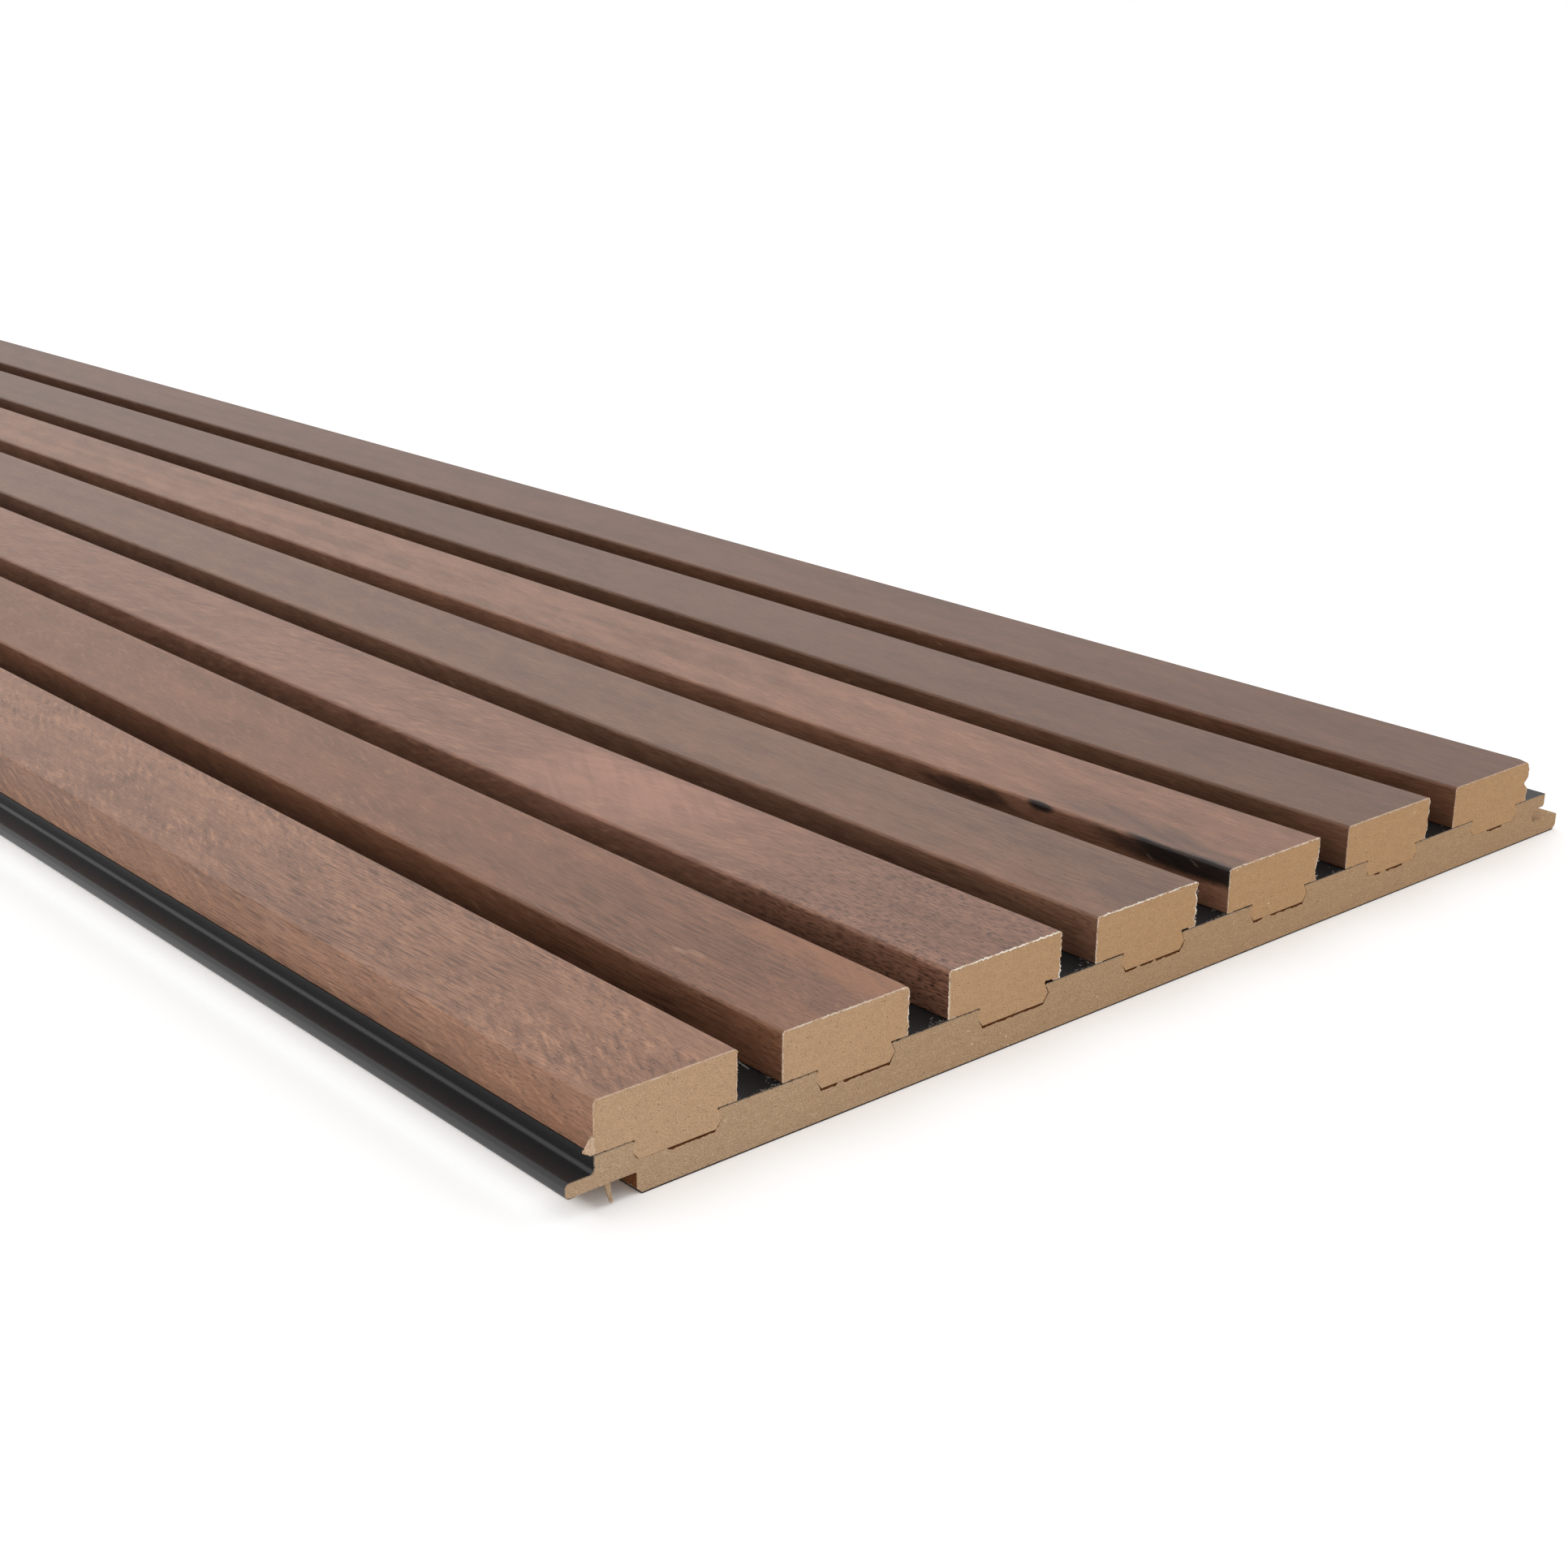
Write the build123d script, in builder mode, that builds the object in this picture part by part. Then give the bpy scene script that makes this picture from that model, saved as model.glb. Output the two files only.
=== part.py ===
"""Slatted wall panel: wrapped slats keyed into a black-faced board with a tongue and a groove edge.

The panel lies on its back. X runs across the slats, from the edge tongue to the edge groove,
Y runs along them, and Z points out of the face. Sizes are in millimetres.
"""

import os

from build123d import *

# Whole panel
panel_length = 1200.0
slat_count = 7

# Slat heads, which stand on the face, and the foil wrapped round them
slat_width = 30.0
slat_gap = 10.0
slat_height = 9.8
slat_crown_radius = 0.7
slat_foot_radius = 0.35
wrap_thickness = 0.25
wrap_return = 2.0

# Keys, the undercut tongues below the heads, nearer to the head's right side
key_left_shoulder = 8.3
key_right_shoulder = 4.3
key_left_barb = 0.5
key_right_barb = 1.0
key_barb_depth = 2.0
key_depth = 3.7
key_foot_taper = 1.3
key_side_slack = 0.06
key_floor_gap = 0.4
keyway_lead = 0.5

# Board and its foils, layer by layer from the wall outwards
backing_thickness = 0.3
lower_lip_thickness = 3.7
edge_tongue_thickness = 2.9
upper_lip_thickness = 2.9
face_foil = 0.2

# Edge tongue, with the rebate below it
edge_tongue_reach = 5.8
edge_nose_radius = 0.9
edge_wall_fillet = 0.8
edge_foil_return = 2.0
rebate_depth = 8.6
rebate_corner_radius = 0.3
rebate_edge_break = 1.0

# Edge groove, with the long lip below it that the panel is nailed through
joint_clearance = 0.1
nose_clearance = 0.4
seam_gap = 1.6
lower_lip_reach = 6.2
lower_lip_chamfer = 1.0
lower_lip_radius = 0.4
upper_lip_lead = 0.5
groove_corner_radius = 0.3

# Distances across the panel, from the joint line at the foot of the first slat's left side
slat_pitch = slat_width + slat_gap
cover_width = slat_count * slat_pitch
upper_lip_end = cover_width - seam_gap
lower_lip_end = upper_lip_end + lower_lip_reach
groove_floor = cover_width - edge_tongue_reach - nose_clearance
joint_line = (edge_tongue_reach - lower_lip_end) / 2

# Heights above the wall
groove_bottom = backing_thickness + lower_lip_thickness
tongue_bottom = groove_bottom + joint_clearance
tongue_top = tongue_bottom + edge_tongue_thickness
groove_top = tongue_top + joint_clearance
board_top = groove_top + upper_lip_thickness
face_level = board_top + face_foil
crown_level = face_level + slat_height


def section_plane(offset=0.0):
    """Upright plane across the panel: its x starts at the joint line plus offset, its y is the height."""
    return Plane(origin=(joint_line + offset, 0, 0), x_dir=(1, 0, 0), z_dir=(0, -1, 0))


def run_length():
    """Runs the current section along the whole panel, half to each side of the middle."""
    extrude(amount=panel_length / 2, both=True)


def save(piece, name):
    """Labels a finished piece and writes it as its own node."""
    piece.part.label = name
    export_step(piece.part, f"parts/{name}.step")


def draw_corners(corners, mode=Mode.ADD):
    """Fills the closed outline through corners given as (x, height, rounding radius)."""
    with BuildLine() as outline:
        FilletPolyline(
            [(x, height) for x, height, radius in corners],
            radius=[radius for x, height, radius in corners],
            close=True,
        )
    make_face(outline.edges(), mode=mode)


def draw_board(foil=0.0, mode=Mode.ADD):
    """Section of the board without keyways; foil moves out the faces that the black foil covers."""
    bare = face_foil - foil
    nose = bare - edge_tongue_reach
    draw_corners(
        [
            (bare, face_level - bare, 0),
            (bare, tongue_top - bare, edge_wall_fillet + bare),
            (nose, tongue_top - bare, edge_nose_radius - bare),
            (nose, tongue_bottom + bare, edge_nose_radius - bare),
            (rebate_depth, tongue_bottom + bare, rebate_corner_radius),
            (rebate_depth, backing_thickness + rebate_edge_break, 0),
            (rebate_depth + rebate_edge_break, backing_thickness, 0),
            (lower_lip_end - lower_lip_chamfer, backing_thickness, 0),
            (lower_lip_end, backing_thickness + lower_lip_chamfer, 0),
            (lower_lip_end, groove_bottom, lower_lip_radius),
            (groove_floor, groove_bottom, groove_corner_radius),
            (groove_floor, groove_top, groove_corner_radius),
            (upper_lip_end - upper_lip_lead, groove_top, 0),
            (upper_lip_end, groove_top + upper_lip_lead, 0),
            (upper_lip_end, face_level - bare, 0),
        ],
        mode,
    )


def draw_key(slack=0.0, floor_gap=0.0, mode=Mode.ADD):
    """Undercut key below a slat's head, or with slack and floor gap the keyway that takes it."""
    neck_left = key_left_shoulder - slack
    neck_right = slat_width - key_right_shoulder + slack
    barb_left = neck_left - key_left_barb
    barb_right = neck_right + key_right_barb
    Polygon(
        (neck_left, face_level + wrap_thickness),
        (neck_left, face_level),
        (barb_left, face_level - key_barb_depth),
        (barb_left + key_foot_taper, face_level - key_depth - floor_gap),
        (barb_right - key_foot_taper, face_level - key_depth - floor_gap),
        (barb_right, face_level - key_barb_depth),
        (neck_right, face_level),
        (neck_right, face_level + wrap_thickness),
        align=None,
        mode=mode,
    )


def draw_lead(neck, outward):
    """Breaks the upper edge of a keyway at its neck; outward is the side that the board lies on."""
    Polygon(
        (neck, face_level),
        (neck + outward * keyway_lead, face_level),
        (neck, face_level - keyway_lead),
        align=None,
        mode=Mode.SUBTRACT,
    )


def draw_keyways():
    """Cuts one keyway with broken edges under every slat out of the current section."""
    with Locations([(index * slat_pitch, 0) for index in range(slat_count)]):
        draw_key(key_side_slack, key_floor_gap, Mode.SUBTRACT)
        draw_lead(key_left_shoulder - key_side_slack, -1)
        draw_lead(slat_width - key_right_shoulder + key_side_slack, 1)


def draw_head(cover=0.0, mode=Mode.ADD):
    """Section of a slat's head: the bare core, or with cover the outside of its wrap."""
    bare = wrap_thickness - cover
    left, right = bare, slat_width - bare
    foot, crown = face_level + bare, crown_level - bare
    foot_radius = max(slat_foot_radius - bare, 0)
    crown_radius = max(slat_crown_radius - bare, 0)
    draw_corners(
        [
            (left, foot, foot_radius),
            (right, foot, foot_radius),
            (right, crown, crown_radius),
            (left, crown, crown_radius),
        ],
        mode,
    )


os.makedirs("parts", exist_ok=True)

# Board: one length of MDF with the keyways and both joint edges milled into it
with BuildPart() as base_board:
    with BuildSketch(section_plane()):
        draw_board()
        draw_keyways()
    run_length()
save(base_board, "base_board")

# Backing foil: flat sheet on the wall side, between the rebate and the lower lip's chamfer
backing_start = rebate_depth + rebate_edge_break
backing_end = lower_lip_end - lower_lip_chamfer
with BuildPart() as backing_foil:
    with BuildSketch(section_plane()):
        with Locations((backing_start, 0)):
            Rectangle(backing_end - backing_start, backing_thickness, align=Align.MIN)
    run_length()
save(backing_foil, "backing_foil")

# Black foil: a skin on the face and round the edge tongue, parted into strips by the keyways
foil_end = edge_foil_return - edge_tongue_reach
uncovered_height = 2 * (face_foil + rebate_corner_radius)
with BuildSketch(section_plane()) as black_foil:
    draw_board(foil=face_foil)
    draw_board(mode=Mode.SUBTRACT)
    draw_keyways()
    with Locations((foil_end, tongue_bottom)):
        Rectangle(
            rebate_depth - foil_end,
            uncovered_height,
            align=(Align.MIN, Align.CENTER),
            mode=Mode.SUBTRACT,
        )

gap_names = [f"gap_foil_{index}" for index in range(1, slat_count)]
strip_names = ["tongue_edge_foil", *gap_names, "groove_edge_foil"]
for strip_name, strip in zip(strip_names, black_foil.sketch.faces().sort_by(Axis.X)):
    with BuildPart() as foil_strip:
        extrude(strip, amount=panel_length / 2, both=True)
    save(foil_strip, strip_name)

# Slats: each is an MDF core, head and key in one, with a foil wrap that turns in under the head
for index in range(slat_count):
    slat_plane = section_plane(index * slat_pitch)

    with BuildPart() as slat_core:
        with BuildSketch(slat_plane):
            draw_head()
            draw_key()
        run_length()
    save(slat_core, f"slat_core_{index + 1}")

    with BuildPart() as slat_wrap:
        with BuildSketch(slat_plane):
            draw_head(cover=wrap_thickness)
            draw_head(mode=Mode.SUBTRACT)
            with Locations((slat_width / 2, face_level)):
                Rectangle(slat_width - 2 * wrap_return, 4 * wrap_thickness, mode=Mode.SUBTRACT)
        run_length()
    save(slat_wrap, f"slat_wrap_{index + 1}")
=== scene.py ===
# %% [markdown]
# # A slatted wall panel
# The object is a length of ready-made wall cladding. Seven slats with a walnut print stand on a board
# with a black face. Each slat holds on by a key that sits in an undercut keyway, and the board has a
# tongue along one edge and a groove along the other, so that panels join without a visible seam.
# The near end has been cut with a saw, which tore the foils a little and bared the MDF inside.
#
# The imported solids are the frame. Every mesh below is made in the same place and at the same size.

# %% Load the solids
import math
import random

import bmesh
import bpy
from mathutils import Matrix, Vector, noise


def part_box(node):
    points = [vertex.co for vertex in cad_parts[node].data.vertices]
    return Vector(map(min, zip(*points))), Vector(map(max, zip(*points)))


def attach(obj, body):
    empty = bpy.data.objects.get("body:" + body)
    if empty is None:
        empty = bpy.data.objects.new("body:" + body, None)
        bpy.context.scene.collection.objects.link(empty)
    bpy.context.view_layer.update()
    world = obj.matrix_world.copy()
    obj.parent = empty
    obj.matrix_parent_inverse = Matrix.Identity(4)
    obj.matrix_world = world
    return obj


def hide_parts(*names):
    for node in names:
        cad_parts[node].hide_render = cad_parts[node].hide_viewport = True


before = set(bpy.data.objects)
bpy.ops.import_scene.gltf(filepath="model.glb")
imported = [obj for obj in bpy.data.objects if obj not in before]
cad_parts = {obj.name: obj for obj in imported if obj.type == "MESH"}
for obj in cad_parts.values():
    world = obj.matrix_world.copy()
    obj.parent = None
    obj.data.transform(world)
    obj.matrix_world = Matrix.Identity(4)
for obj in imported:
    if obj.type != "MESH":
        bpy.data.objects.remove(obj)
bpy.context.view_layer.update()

# %% [markdown]
# ## Sizes
# A moulding is one section carried along a straight line, so most of its sizes can be read off the
# boxes of the solids: the wrap's box gives a slat's outside, the core's box the bare MDF, and the step
# from one slat to the next the pitch. What no box shows, such as roundings, the key's slants and the
# room in the joints, is written down in millimetres where it is needed.

# %% Read the sizes off the solids
mm = 0.001
wrap_low, wrap_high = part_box("slat_wrap_1")
core_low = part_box("slat_core_1")[0]
next_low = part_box("slat_wrap_2")[0]
board_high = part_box("base_board")[1]
edge_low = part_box("tongue_edge_foil")[0]
backing_low, backing_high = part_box("backing_foil")
groove_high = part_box("groove_edge_foil")[1]

slat_count = sum(name.startswith("slat_wrap_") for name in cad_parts)
joint_line = wrap_low.x
slat_pitch = next_low.x - wrap_low.x
slat_width = wrap_high.x - wrap_low.x
slat_lefts = [joint_line + index * slat_pitch for index in range(slat_count)]
wrap_thickness = core_low.x - wrap_low.x
face_level = wrap_low.z
crown_level = wrap_high.z
board_top = board_high.z
face_foil = face_level - board_top
sawn_end, far_end = wrap_low.y, wrap_high.y
print(f"{slat_count} slats, {slat_width / mm:.1f} mm wide, one every {slat_pitch / mm:.1f} mm")
print(f"face {face_level / mm:.1f} mm and crown {crown_level / mm:.1f} mm above the wall")
print(f"wrap {wrap_thickness / mm:.2f} mm, black foil {face_foil / mm:.2f} mm")

# %% [markdown]
# ## Camera
# The photograph was taken with a normal lens, from close to the near corner and a little above it.
# Lines that are parallel on the panel run together in the picture, and how fast they do so gives the
# lens and the place. Everything is in focus, because a sharp picture serves a part best.

# %% Place the camera
picture_width = 1932
focal_length_px = 2834
near_corner = Vector((joint_line, sawn_end, 0))
camera_place = near_corner + Vector((-194.6, -266.2, 186.3)) * mm
camera_azimuth, camera_elevation, camera_roll = map(math.radians, (-41.34, 18.96, 0.68))

camera = bpy.data.objects.new("camera", bpy.data.cameras.new("camera"))
bpy.context.collection.objects.link(camera)
camera.data.lens = camera.data.sensor_width * focal_length_px / picture_width
camera.data.clip_start = 10 * mm
camera.data.clip_end = 200
turn = Matrix.Rotation(camera_azimuth, 4, "Z")
tilt = Matrix.Rotation(math.pi / 2 - camera_elevation, 4, "X")
roll = Matrix.Rotation(camera_roll, 4, "Z")
camera.matrix_world = Matrix.Translation(camera_place) @ turn @ tilt @ roll
bpy.context.scene.camera = camera
print(f"lens {camera.data.lens:.1f} mm, {camera_place.z / mm:.0f} mm above the floor")

# %% [markdown]
# ## Shader maths as Python
# A finish is a small calculation: where on the surface, how much noise there, how much of which colour.
# Wiring it by hand hides the formula, so one class wraps an output socket and gives it Python's
# operators. `1 - mask` or `x / size` then adds the Math nodes itself. Any other node comes from its
# one method, which takes the node's type, its settings, and the values or links of its sockets.

# %% A socket with operators
class Socket:
    """An output in a node tree. Sums with it add the Math nodes that work them out."""

    def __init__(self, output):
        self.output = output
        self.tree = output.id_data

    def node(self, kind, settings=None, inputs=None, output=0):
        """Adds a node: its settings first, then the values or links of its sockets."""
        node = self.tree.nodes.new(kind)
        for name, value in (settings or {}).items():
            setattr(node, name, value)
        live = [socket for socket in node.inputs if socket.enabled]
        for key, value in (inputs or {}).items():
            socket = live[key] if isinstance(key, int) else next(s for s in live if s.name == key)
            if isinstance(value, Socket):
                self.tree.links.new(value.output, socket)
            else:
                socket.default_value = value
        return Socket([socket for socket in node.outputs if socket.enabled][output])

    def math(self, operation, *others):
        return self.node("ShaderNodeMath", {"operation": operation}, dict(enumerate((self, *others))))

    def __add__(self, other):
        return self.math("ADD", other)

    def __sub__(self, other):
        return self.math("SUBTRACT", other)

    def __rsub__(self, other):
        return self * -1 + other

    def __mul__(self, other):
        return self.math("MULTIPLY", other)

    def __truediv__(self, other):
        return self.math("DIVIDE", other)

    def __rtruediv__(self, other):
        return self.math("POWER", -1.0) * other

    __radd__ = __add__
    __rmul__ = __mul__

    def rise(self, low, high):
        """0 below low, 1 above high and a smooth step between; the other way round if low is higher."""
        settings = {"interpolation_type": "SMOOTHSTEP"}
        return self.node("ShaderNodeMapRange", settings, {"Value": self, "From Min": low, "From Max": high})

    def mix(self, first, second, blend="MIX"):
        """The first colour where this is 0 and the second where it is 1."""
        settings = {"data_type": "RGBA", "blend_type": blend}
        return self.node("ShaderNodeMix", settings, {"Factor": self, "A": first, "B": second})

    def axis(self, name):
        """The X, Y or Z of a vector."""
        return self.node("ShaderNodeSeparateXYZ", None, {"Vector": self}, "XYZ".index(name))

    def grain(self, *sizes, detail=2.0, roughness=0.5):
        """Noise from 0 to 1 whose lumps have this size in millimetres, or these along X, Y and Z."""
        lump = [size * mm for size in (sizes if len(sizes) == 3 else sizes * 3)]
        scaled = self.node("ShaderNodeVectorMath", {"operation": "DIVIDE"}, {0: self, 1: lump})
        return self.node("ShaderNodeTexNoise", None, {
            "Vector": scaled, "Scale": 1.0, "Detail": detail, "Roughness": roughness,
        })

    def specks(self, cell, radius):
        """Round dots, 1 inside and 0 outside, one at most in each cell; sizes in millimetres."""
        inputs = {"Vector": self, "Scale": 1 / (cell * mm)}
        scaled = self.node("ShaderNodeVectorMath", {"operation": "SCALE"}, inputs)
        distance = self.node("ShaderNodeTexVoronoi", None, {"Vector": scaled, "Scale": 1.0})
        return distance.rise(radius / cell, 0.5 * radius / cell)


def colour(red, green, blue):
    """A colour given as on screen, 0 to 255, turned into the linear values that shaders use."""
    def linear(value):
        share = value / 255
        return share / 12.92 if share <= 0.04045 else ((share + 0.055) / 1.055) ** 2.4

    return (linear(red), linear(green), linear(blue), 1.0)


print("sockets take + - * / and hand back sockets")

# %% [markdown]
# ## Light
# The panel lies in a white light tent, with the same light from all sides. A flat surface under such a
# sky shows its colour as it is written, and gaps and undersides darken by themselves.

# %% Sky
world = bpy.data.worlds.new("white_tent")
bpy.context.scene.world = world
world.use_nodes = True
sky = world.node_tree.nodes["Background"].inputs
sky["Color"].default_value = colour(255, 255, 255)
sky["Strength"].default_value = 1.0
print("white sky of strength", sky["Strength"].default_value)

# %% [markdown]
# ## Floor
# The floor is white paper. The camera sees it a shade whiter than it is to the panel, so the picture's
# ground is white while the panel gets no more light from it than from real paper.

# %% Paper floor
def seen_directly(tree):
    """1 for rays from the camera and for mirror-like or see-through bounces, 0 for diffuse light."""
    path = tree.nodes.new("ShaderNodeLightPath")
    names = ("Is Camera Ray", "Is Glossy Ray", "Is Transmission Ray")
    camera_ray, glossy_ray, clear_ray = (Socket(path.outputs[name]) for name in names)
    return (camera_ray + glossy_ray + clear_ray).math("MINIMUM", 1.0)


floor_half = 60.0
floor_mesh = bpy.data.meshes.new("paper_floor")
floor_corners = [(-1, -1), (1, -1), (1, 1), (-1, 1)]
floor_mesh.from_pydata([(x * floor_half, y * floor_half, 0) for x, y in floor_corners], [], [(0, 1, 2, 3)])
floor = bpy.data.objects.new("paper_floor", floor_mesh)
bpy.context.collection.objects.link(floor)
floor_finish = bpy.data.materials.new("white_paper")
floor_finish.use_nodes = True
floor_mesh.materials.append(floor_finish)
paper_tree = floor_finish.node_tree
paper = paper_tree.nodes["Principled BSDF"].inputs
paper["Roughness"].default_value = 1.0
paper["Specular IOR Level"].default_value = 0.0
paper_seen = seen_directly(paper_tree)
paper_colour = paper_seen.mix(colour(238, 237, 235), colour(254, 254, 254))
paper_tree.links.new(paper_colour.output, paper["Base Color"])

bpy.context.scene.view_settings.view_transform = "Standard"
print(f"floor {2 * floor_half:.0f} m across")

# %% [markdown]
# A faint glow, which only the camera and reflections see, lifts the soft shadow round the panel. In the
# photograph the ground stays bright right up to the tongue and is dark only under the sawn corner, where
# the tongue overhangs. So the glow is stronger beside the tongue, and there is none in that corner.

# %% Glow of the paper
ground_glow, tongue_glow = 0.144, 0.39
paper_place = Socket(paper_tree.nodes.new("ShaderNodeTexCoord").outputs["Object"])
across, along = paper_place.axis("X") - joint_line, paper_place.axis("Y") - sawn_end
corner = across.rise(0, 2 * mm) * across.rise(24 * mm, 12 * mm)
corner = corner * along.rise(0, 1.5 * mm) * along.rise(60 * mm, 30 * mm)
nearness = across.rise(-16 * mm, -2.5 * mm)
beside = nearness * nearness * across.rise(1 * mm, -2 * mm)
beside = beside * (along.rise(0, 11 * mm) * 0.65 + 0.35) * along.rise(-6 * mm, 2 * mm)
glow = paper_seen * ((1 - corner) * ground_glow + beside * tongue_glow)
paper_glow = glow.mix(colour(0, 0, 0), colour(255, 255, 255))
paper_tree.links.new(paper_glow.output, paper["Emission Color"])
paper["Emission Strength"].default_value = 1.0
print(f"glow {ground_glow} of white, and {tongue_glow} more beside the tongue")

# %% [markdown]
# ## Finishes
# Every finish starts the same way: a material with a Principled shader, and the place on the surface in
# the object's own metres. The pieces are drawn where they stand on the panel, each with its origin at
# the panel's, so no two slats get the same bit of noise.

# %% Start and end of a finish
def start_finish(name, specular):
    """A new material, and the place on the surface."""
    material = bpy.data.materials.new(name)
    material.use_nodes = True
    nodes = material.node_tree.nodes
    nodes["Principled BSDF"].inputs["Specular IOR Level"].default_value = specular
    return material, Socket(nodes.new("ShaderNodeTexCoord").outputs["Object"])


def end_finish(material, base, roughness, relief, depth):
    """Links the colour, the roughness, and the relief as a bump of this depth in millimetres."""
    bump = relief.node("ShaderNodeBump", None, {"Height": relief, "Strength": 1.0, "Distance": depth * mm})
    tree = material.node_tree
    for name, value in {"Base Color": base, "Roughness": roughness, "Normal": bump}.items():
        tree.links.new(value.output, tree.nodes["Principled BSDF"].inputs[name])
    return material


print("a finish has a colour, a roughness and a relief")

# %% [markdown]
# ### MDF
# MDF is wood fibre pressed with resin. A cut shows no grain, only a crumb, with paler fibre ends and dark
# pits. The slats are of a fine, yellowish board and the base of a coarser, greyer one, so one function
# makes both, with the crumb's size and the strength of fibres and pits as its choices.

# %% Two kinds of MDF
def mdf(name, dark, pale, far_tint, crumb, fibre_share, pit_share):
    material, place = start_finish(name, specular=0.15)
    fine = place.grain(1.5 * crumb, crumb, crumb, detail=2.5, roughness=0.62)
    clumps = place.grain(9 * crumb, 9 * crumb, 5 * crumb, detail=2.0)
    fibres = place.grain(4.0 * crumb, 3.0 * crumb, 0.8 * crumb, detail=1.0).rise(0.60, 0.72)
    pits = place.grain(2.6 * crumb, 1.8 * crumb, 1.4 * crumb, detail=1.0).rise(0.31, 0.22)
    specks = place.specks(3.1, 0.24) * place.grain(7).rise(0.48, 0.6)
    holes = place.specks(6.3, 0.36) * place.grain(9).rise(0.5, 0.6)
    base = fine.rise(0.28, 0.72).mix(dark, pale)
    base = (clumps.rise(0.35, 0.65) * 0.25).mix(base, dark)
    base = (fibres * fibre_share).mix(base, colour(240, 218, 186))
    base = (pits * pit_share).mix(base, colour(84, 58, 38))
    base = specks.mix(base, colour(246, 232, 210))
    base = (holes * pit_share).mix(base, colour(70, 46, 30))
    base = place.axis("X").rise(slat_lefts[0], slat_lefts[4]).mix(base, far_tint, "MULTIPLY")
    relief = fine + fibres * 0.4 - pits * 0.8
    return end_finish(material, base, 0.85 + fine * 0.1, relief, 0.12)


slat_mdf = mdf(
    "slat_mdf", colour(171, 139, 108), colour(212, 177, 142), colour(247, 237, 222), 0.2, 0.2, 0.3,
)
board_mdf = mdf(
    "board_mdf", colour(157, 130, 103), colour(202, 171, 140), colour(246, 239, 228), 0.24, 0.35, 0.5,
)
print("made", slat_mdf.name, "and", board_mdf.name)

# %% [markdown]
# Keys and keyways get a dark red-brown MDF: a brown tone with painted shade for the slot between them.
# At the sawn end the gap between the two therefore shows as a dark red-brown line and not as shadow alone.
# The fluff that the saw left on the black foil is the same fibre again, but pale and grey.

# %% Painted shade in the keyways, and fluff
# A brown tone with painted shade, for the faces of keys, keyways and the rebate wall.
brown_painted_shade_mdf = mdf(
    "brown_painted_shade_mdf", colour(88, 50, 26), colour(134, 84, 46), colour(255, 255, 255), 0.4, 0.05, 0.5,
)
saw_fluff = mdf(
    "saw_fluff", colour(96, 90, 85), colour(166, 158, 150), colour(255, 255, 255), 0.3, 0.2, 0.2,
)
print("made", brown_painted_shade_mdf.name, "and", saw_fluff.name)

# %% [markdown]
# ### Black foil
# The board's face and tongue wear a black foil with a fine, leathery emboss and a satin sheen, polished a
# little round the tongue by the machine that wrapped it. On black it is the sheen that shows the shape,
# so the roughness varies a little and the emboss is a real bump.
# A few specks of sawdust cling to it, and its cut edge is smeared with MDF in places.

# %% Black foil and the backing
def black_film(name, tint, specular, roughness, emboss, smear_share):
    material, place = start_finish(name, specular)
    pebble = place.grain(emboss, detail=1.5, roughness=0.6)
    cloud = place.grain(14, 60, 14, detail=2.0)
    dust = place.specks(3.4, 0.09) * place.grain(9).rise(0.42, 0.62)
    sawn = (place.axis("Y") - sawn_end).rise(0.08 * mm, 0.02 * mm)
    smear = sawn * place.grain(1.4, 9000, 0.5).rise(0.32, 0.48) * smear_share
    base = (pebble * 0.5).mix(tint, colour(38, 38, 40))
    base = (dust * 0.7).mix(base, colour(176, 172, 166))
    base = smear.mix(base, colour(150, 124, 98))
    return end_finish(material, base, roughness + cloud * 0.12 + dust * 0.3, pebble, 0.035)


edge_film = black_film("black_edge_foil", colour(13, 13, 14), 0.55, 0.3, 0.22, 0.85)
face_film = black_film("black_face_foil", colour(12, 12, 13), 0.35, 0.4, 0.22, 0.85)
backing_film = black_film("backing_foil", colour(30, 25, 22), 0.2, 0.62, 0.4, 0.1)
print("made", edge_film.name, face_film.name, "and", backing_film.name)

# %% [markdown]
# ### Walnut print
# The wrap is a printed foil, so its pattern goes round the slat's edges without a joint. Real walnut has
# slow bands of grey and red brown, fine fibres, and pores: dark dashes a few millimetres long.
# Interlocked grain adds pale flecks that lean to one side. Each slat was cut from another stretch of the
# print, so each has its own tones, amounts and patches, listed in one table that follows the photograph.
# `near` is how much the pores thin out away from the cut, and `torn` how white the torn paper is. Dashes
# are the dark lines of long pores: where they start and end along the slat, how long each is (in
# millimetres) and how strong. A patch has its middle and half size (both across and along, in
# millimetres), a colour and a strength. Its fine streaks lean as the flecks do, or by `sweep`.

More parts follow.
